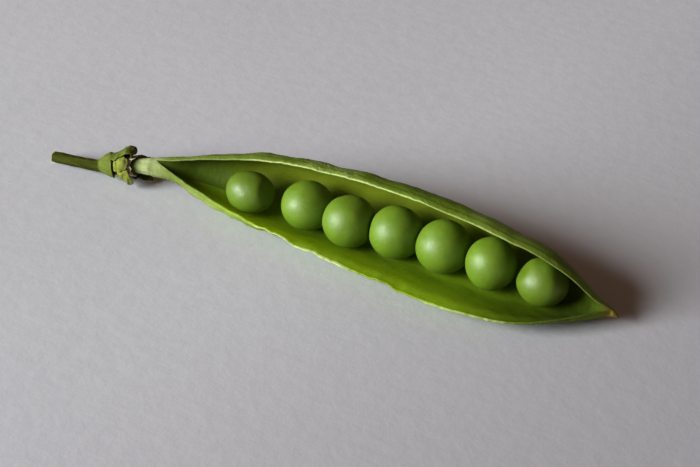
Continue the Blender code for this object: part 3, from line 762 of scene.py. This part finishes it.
def build_pea(index):
    centre, axes = PEAS[index, :3], PEAS[index, 3:]
    _, surface, _ = funicle_path(index)
    pole = unit(surface - centre)
    a = unit(np.cross(pole, (0.3, 0.2, 1.0)))
    b = np.cross(pole, a)
    rows, columns = 64, 96
    s = np.linspace(0, 1, rows + 1)
    polar = math.pi * s**1.12
    polar[-1] = math.pi
    turn = np.linspace(0, 2 * math.pi, columns, endpoint=False)
    direction = (
        pole * np.cos(polar)[:, None, None]
        + (a * np.cos(turn)[:, None] + b * np.sin(turn)[:, None])[None] * np.sin(polar)[:, None, None]
    )
    radius = 1 / np.linalg.norm(direction / axes, axis=-1)

    # Flats where a neighbour presses, joined softly to the round body
    planes = []
    for other in (index - 1, index + 1):
        if 0 <= other < len(PEAS):
            way = PEAS[other, :3] - centre
            gap = np.linalg.norm(way)
            mine, theirs = PEAS[index, 3], PEAS[other, 3]
            planes.append((way / gap, (gap - 0.06) * mine / (mine + theirs)))
    if index == 0:
        planes.append((unit(np.array((0.90, -0.10, 0.42))), 3.62))
    if index == len(PEAS) - 1:
        planes.append((unit(np.array((-0.80, -0.25, 0.55))), 3.52))
        planes.append((unit(np.array((0.75, -0.10, 0.65))), 3.75))
    power = 26.0
    total = radius**-power
    for way, distance in planes:
        facing = direction @ way
        total = total + (np.maximum(facing, 1e-3) / distance) ** power
    radius = total ** (-1 / power)

    rough = field(direction * 4.4 + index * 7.0, 5.5, 60 + index) * 0.030 + field(direction * 4.4, 2.2, 70 + index) * 0.010
    # Hilum: a shallow oval scar with a low lip, and the little root's ridge beside it
    px, py = direction @ a * radius, direction @ b * radius
    near = np.cos(polar)[:, None] > 0
    oval = np.sqrt((px / 0.95) ** 2 + (py / 0.50) ** 2)
    scar = np.where(near, -0.10 * np.exp(-(oval**4)) + 0.06 * np.exp(-(((oval - 1.35) / 0.3) ** 2)), 0)
    ridge = np.where(near, 0.09 * np.exp(-(((px - 1.9) / 0.9) ** 2) - (py / 0.5) ** 2), 0)
    radius = radius + rough + scar + ridge

    grid = centre + direction * radius[..., None]
    vertices = np.concatenate([[grid[0, 0]], grid[1:-1].reshape(-1, 3), [grid[-1, 0]]])
    hilum = np.where(near, np.exp(-((oval / 1.2) ** 4)), 0)
    hilum = np.concatenate([[1.0], hilum[1:-1].ravel(), [0.0]])
    faces = [(0, 1 + j, 1 + (j + 1) % columns) for j in range(columns)]
    faces += grid_faces(rows - 1, columns, 1, True, True)
    last, low = len(vertices) - 1, 1 + (rows - 2) * columns
    faces += [(last, low + (j + 1) % columns, low + j) for j in range(columns)]
    tones = (0.25, 0.10, 0.20, 0.05, 0.15, 0.20, 0.45)
    tone = np.full(len(vertices), tones[index])
    # Painted shade on the first and last pea
    painted_shade = np.full(len(vertices), (0.55, 0.0, 0.0, 0.0, 0.0, 0.0, 0.60)[index])
    return make_mesh(f"pea_{index + 1}_skin", vertices, faces, {"tone": tone, "hilum": hilum, "painted_shade": painted_shade})


# ---------------------------------------------------------------- stalk and calyx
def build_stalk():
    rows, sides = 150, 64
    x = np.linspace(STALK[0, 0], STALK[-1, 0], rows)
    path = np.stack([x, spline(STALK[:, 0], STALK[:, 1], x), spline(STALK[:, 0], STALK[:, 2], x)], 1)
    radius = spline(STALK[:, 0], STALK[:, 3], x)
    turn = np.linspace(0, 2 * math.pi, sides, endpoint=False)
    body = 1 - smooth((x + 58.3) / 1.4)
    tilt = -0.45 * smooth((x + 57.6) / 2.2)               # the receptacle's rim is set aslant
    twist = turn[None, :] + 0.035 * (x[:, None] + 60)
    ribs = 0.060 * np.cos(5 * twist) + 0.020 * np.cos(11 * twist + 1.0)
    surface = np.stack([np.repeat(x[:, None], sides, 1), radius[:, None] * np.cos(turn), radius[:, None] * np.sin(turn)], -1)
    grid = radius[:, None] * (1 + ribs * (0.35 + 0.65 * body[:, None])) + field(surface, 2.2, 80) * 0.022
    grid[-3:] *= 1 + 0.02 * field(turn, 0.9, 81)[None, :]

    # Cut end: sliced a little aslant, with a raised ring of vessels and a sunken pith
    tangent, side, up = frames(path)
    ring = side[:, None, :] * np.cos(turn)[None, :, None] + up[:, None, :] * np.sin(turn)[None, :, None]
    points = path[:, None, :] + ring * grid[..., None]
    slant = 0.10 * np.cos(turn - 1.2)
    points[..., 0] += tilt[:, None] * (points[..., 1] - path[:, None, 1])
    points[0, :, 0] += slant + 0.02 * field(turn, 0.6, 82)
    vertices, faces = [points.reshape(-1, 3)], grid_faces(rows, sides)
    cut, cone = [np.zeros(rows * sides)], [np.repeat(smooth((x + 57.5) / 0.7)[:, None], sides, 1).ravel()]
    cut[0][:sides] = 0.6
    total = rows * sides
    previous = np.arange(sides)
    for share, dip in ((0.93, 0.03), (0.80, 0.00), (0.66, 0.05), (0.45, 0.11), (0.2, 0.14)):
        inset = path[0] + (points[0] - path[0]) * share
        inset[:, 0] += dip + 0.012 * field(turn * 2, 0.8, int(share * 100))
        vertices.append(inset)
        current = total + np.arange(sides)
        total += sides
        faces += [(previous[(j + 1) % sides], previous[j], current[j], current[(j + 1) % sides]) for j in range(sides)]
        previous = current
        cut.append(np.ones(sides))
        cone.append(np.zeros(sides))
    faces.append(list(previous[::-1]))
    # Receptacle's end: a thin lip, then a hollow that narrows to the pod's stipe
    previous = (rows - 1) * sides + np.arange(sides)
    end = path[-1]
    for share, step in ((1.00, 0.16), (0.94, 0.24), (0.84, 0.16), (0.66, 0.10), (0.45, 0.16), (0.38, 0.45)):
        inset = end + (points[-1] - end) * share
        inset[:, 0] = end[0] + step + tilt[-1] * (inset[:, 1] - end[1])
        vertices.append(inset)
        current = total + np.arange(sides)
        total += sides
        faces += [(previous[j], previous[(j + 1) % sides], current[(j + 1) % sides], current[j]) for j in range(sides)]
        previous = current
        cut.append(np.zeros(sides))
        cone.append(np.full(sides, 1.0 if share > 0.9 else 0.0))
    faces.append(list(previous))
    return make_mesh("stalk_skin", np.concatenate(vertices), faces, {"cut": np.concatenate(cut), "cone": np.concatenate(cone)})


def neck_axis(x):
    rows = NECK[::-1]
    x = np.minimum(x, NECK[0, 0])
    return spline(rows[:, 0], rows[:, 1], x), spline(rows[:, 0], rows[:, 2], x)


# Sepals: name, angle at the root (0 = +Y, 90 = up, 180 = -Y), sideways lean per mm, tone,
# roll about the midrib, and along the midrib: x, distance from the neck's axis, half width, sideways cupping
# The dark tones are partly painted shade, for the top hook and the sepals under and behind the neck.
SEPALS = (
    (1, 88, 0.5, 0.15, 0.0, ((-55.60, 1.70, 1.30, 0.0), (-54.90, 1.95, 1.65, 0.05), (-54.17, 2.21, 1.75, 0.10), (-53.24, 2.62, 1.85, -0.10), (-52.42, 3.12, 1.70, -0.25), (-51.63, 3.38, 1.40, -0.15), (-50.95, 3.10, 1.20, 0.0), (-50.80, 2.50, 1.00, -0.05), (-51.19, 1.98, 0.75, -0.05), (-51.84, 1.72, 0.35, 0.0))),
    (2, 141, 3.0, 0.66, 0.0, ((-54.50, 1.30, 0.90, 0.0), (-53.95, 1.66, 1.20, 0.05), (-53.30, 2.12, 1.44, 0.10), (-52.55, 2.38, 1.50, 0.10), (-51.80, 2.46, 1.25, 0.05), (-51.15, 2.48, 0.85, 0.0), (-50.85, 2.48, 0.20, 0.0))),
    (3, 172, 8.0, 0.62, 0.70, ((-54.50, 1.25, 0.80, 0.0), (-53.70, 1.42, 1.10, 0.05), (-52.70, 1.60, 1.30, 0.05), (-51.90, 1.92, 1.32, 0.05), (-51.15, 2.36, 1.20, 0.05), (-50.50, 2.78, 1.00, 0.0), (-49.90, 3.20, 0.70, 0.0), (-49.50, 3.50, 0.22, 0.0))),
    (4, 285, -1.0, 0.10, 0.0, ((-54.75, 1.75, 0.90, 0.0), (-53.35, 1.86, 1.05, 0.05), (-51.95, 2.04, 1.10, 0.10), (-50.35, 2.42, 1.00, 0.12), (-49.20, 2.70, 0.80, 0.10), (-48.30, 2.85, 0.50, 0.05), (-47.80, 2.90, 0.15, 0.0))),
    (5, 12, 1.0, 0.05, 0.0, ((-54.90, 1.72, 1.00, 0.0), (-53.45, 1.72, 1.10, 0.05), (-52.15, 1.72, 1.00, 0.05), (-51.10, 1.78, 0.84, 0.05), (-50.20, 1.98, 0.62, 0.05), (-49.50, 2.06, 0.46, 0.0), (-48.90, 2.00, 0.15, 0.0))),
)


def build_sepal(number, angle, lean, tone, roll, midrib):
    rows, columns = 40, 21
    table = np.array(midrib)
    s = np.linspace(0, 1, rows)
    knots = np.concatenate([[0.0], np.cumsum(np.hypot(np.diff(table[:, 0]), np.diff(table[:, 1])))])
    knots /= knots[-1]
    x, radius, half, cup = (spline(knots, table[:, k], s) for k in range(4))
    half = np.maximum(half, 0.06)
    side = np.linspace(-1, 1, columns)
    edges = 1 + 0.07 * field(s, 0.22, 90 + number)
    turn = np.radians(angle + lean * (x - table[0, 0]))[:, None] + side[None, :] * (half * edges / np.maximum(radius, 1.0))[:, None]
    local = np.stack([np.repeat(x[:, None], columns, 1), turn * 2.0], -1)
    crumple = (field(local, 1.6, 100 + number) * 0.085 + field(local, 0.7, 110 + number) * 0.035) * smooth(s / 0.3)[:, None]
    reach = radius[:, None] + cup[:, None] * side[None, :] ** 2 + crumple + roll * (half * smooth(s / 0.4))[:, None] * (0.65 * side[None, :] + 0.45) - 0.06 * np.exp(-((side[None, :] / 0.18) ** 2))
    cy, cz = neck_axis(x)
    centre = np.stack(
        [
            np.repeat(x[:, None], columns, 1) + 0.12 * side[None, :] ** 2 * s[:, None],
            cy[:, None] + reach * np.cos(turn),
            cz[:, None] + reach * np.sin(turn),
        ],
        -1,
    )
    centre[..., 2] = np.maximum(centre[..., 2], REST_CUT + 0.12)
    margin = np.minimum(1 - np.abs(side)[None, :], 1.6 * (1 - s)[:, None] + 0.02)
    thickness = 0.10 + 0.20 * np.sqrt(np.clip(margin, 0, 1)) + 0.06 * np.exp(-((side[None, :] / 0.15) ** 2)) * (1 - s)[:, None]
    edge = 1 - smooth(margin / 0.28)
    tones = np.full((rows, columns), float(tone))
    along = np.repeat(smooth((s - 0.45) / 0.5)[:, None], columns, 1)
    return blade(f"sepal_{number}_skin", centre, thickness, {"tone": tones, "edge": edge, "along": along})


def build_stamen_remains():
    """Papery sheath around the stipe, torn into shreds where it flares."""
    rows, columns = 44, 96
    s = np.linspace(0, 1, rows)
    turn = np.linspace(0, 2 * math.pi, columns, endpoint=False)
    teeth = 0.5 + 0.5 * np.cos(7 * turn + 1.4 * np.sin(2 * turn))
    ragged = np.clip(0.30 * teeth + 0.35 + 0.20 * field(np.stack([np.cos(turn), np.sin(turn)], 1) * 2.0, 1.2, 120), 0, 1)
    length = 3.75 + 0.90 * ragged
    x = -54.6 + s[:, None] * length[None, :]
    base = spline((-54.6, -53.5, -52.4, -51.2, -50.3, -49.4), (1.10, 1.20, 1.48, 1.74, 1.86, 1.96), x)
    flutter = field(np.stack([x, np.repeat(turn[None, :] * 1.7, rows, 0)], -1), 1.0, 121) * 0.06
    around = np.cos(9 * turn)[None, :] * 0.10 - 0.30 * np.clip(np.cos(turn - 0.55), 0, 1)[None, :]
    radius = base + (flutter + around) * smooth(s / 0.5)[:, None] + 0.22 * (smooth((s - 0.75) / 0.25)[:, None] * (ragged - 0.3)[None, :])
    cy, cz = neck_axis(x)
    centre = np.stack([x, cy + radius * np.cos(turn), cz + radius * np.sin(turn)], -1)
    centre[..., 2] = np.maximum(centre[..., 2], REST_CUT + 0.08)
    thickness = np.repeat((0.16 - 0.10 * smooth(s / 1.0))[:, None], columns, 1)
    along = np.repeat(smooth((s - 0.4) / 0.5)[:, None], columns, 1)
    return blade("stamen_remains_skin", centre, thickness, {"along": along}, closed=True)


# ---------------------------------------------------------------- stage
def build_stage():
    count, radius = 128, 0.55
    turn = np.linspace(0, 2 * math.pi, count, endpoint=False)
    mesh = bpy.data.meshes.new("floor")
    mesh.from_pydata([(radius * math.cos(q), radius * math.sin(q), -0.00002) for q in turn], [], [list(range(count))])
    floor = bpy.data.objects.new("floor", mesh)
    bpy.context.scene.collection.objects.link(floor)
    mesh.materials.append(floor_look())

    light = bpy.data.lights.new("key_light", "AREA")
    light.shape = "RECTANGLE"
    light.size, light.size_y = 1.10, 0.78
    light.energy = 78.0
    light.color = (0.84, 0.885, 0.94)
    lamp = bpy.data.objects.new("key_light", light)
    toward = Vector((-0.6220, -0.6930, 0.3700)).normalized()
    lamp.location = Vector((0.0, 0.0, 0.005)) + toward * 1.8
    lamp.rotation_euler = toward.to_track_quat("Z", "Y").to_euler()
    bpy.context.scene.collection.objects.link(lamp)

    world = bpy.data.worlds.new("studio")
    world.use_nodes = True
    tree = world.node_tree
    background = tree.nodes["Background"]
    coordinates = tree.nodes.new("ShaderNodeTexCoord")
    split = tree.nodes.new("ShaderNodeSeparateXYZ")
    tree.links.new(coordinates.outputs["Generated"], split.inputs[0])
    ramp = tree.nodes.new("ShaderNodeValToRGB")
    tree.links.new(split.outputs["Z"], ramp.inputs[0])
    ramp.color_ramp.elements[0].position = 0.085
    ramp.color_ramp.elements[0].color = (0.30, 0.29, 0.285, 1.0)
    ramp.color_ramp.elements[1].position = 0.16
    ramp.color_ramp.elements[1].color = (0.150, 0.094, 0.064, 1.0)
    # the fill is weaker on the side away from the key light
    facing = tree.nodes.new("ShaderNodeVectorMath")
    facing.operation = "DOT_PRODUCT"
    facing.inputs[1].default_value = (-0.80, -0.60, 0.0)
    tree.links.new(coordinates.outputs["Generated"], facing.inputs[0])
    share = tree.nodes.new("ShaderNodeMapRange")
    for key, value in (("From Min", -1.0), ("From Max", 1.0), ("To Min", 0.45), ("To Max", 1.50)):
        share.inputs[key].default_value = value
    tree.links.new(facing.outputs["Value"], share.inputs["Value"])
    tinted = tree.nodes.new("ShaderNodeVectorMath")
    tinted.operation = "SCALE"
    tree.links.new(ramp.outputs[0], tinted.inputs[0])
    tree.links.new(share.outputs["Result"], tinted.inputs["Scale"])
    tree.links.new(tinted.outputs[0], background.inputs["Color"])
    background.inputs["Strength"].default_value = 1.0
    bpy.context.scene.world = world

    camera = bpy.data.objects.new("camera", bpy.data.cameras.new("camera"))
    camera.data.lens, camera.data.sensor_width = 89.0, 36.0
    camera.data.clip_start, camera.data.clip_end = 0.01, 10.0
    camera.location = (0.11870, -0.20552, 0.16192)
    look_at = Vector((0.00398, 0.00577, -0.00025))
    camera.rotation_euler = (look_at - camera.location).to_track_quat("-Z", "Y").to_euler()
    bpy.context.scene.collection.objects.link(camera)
    bpy.context.scene.camera = camera
    bpy.context.scene.view_settings.view_transform = "Standard"
    bpy.context.scene.view_settings.look = "None"
    bpy.context.scene.view_settings.gamma = 0.88


# ---------------------------------------------------------------- everything together
def dress(piece, material, slot, *nodes):
    """Puts a piece in place of its CAD nodes, on the part's one body."""
    piece.data.materials.append(material)
    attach(piece, "root")
    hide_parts(*nodes)


def main():
    dress(build_shell(), pod_look(), "pod_skin", "pod_shell")
    pea, funicle = pea_look(), funicle_look()
    for k in range(len(PEAS)):
        dress(build_pea(k), pea, "pea_skin", f"pea_{k + 1}")
        dress(build_funicle(k), funicle, "funicle", f"funicle_{k + 1}")
    dress(build_stalk(), stalk_look(), "stalk", "stalk")
    sepal = sepal_look()
    for number, *shape in SEPALS:
        dress(build_sepal(number, *shape), sepal, "sepal", f"sepal_{number}")
    dress(build_stamen_remains(), stamen_look(), "dry_stamen", "stamen_remains")
    build_stage()


main()
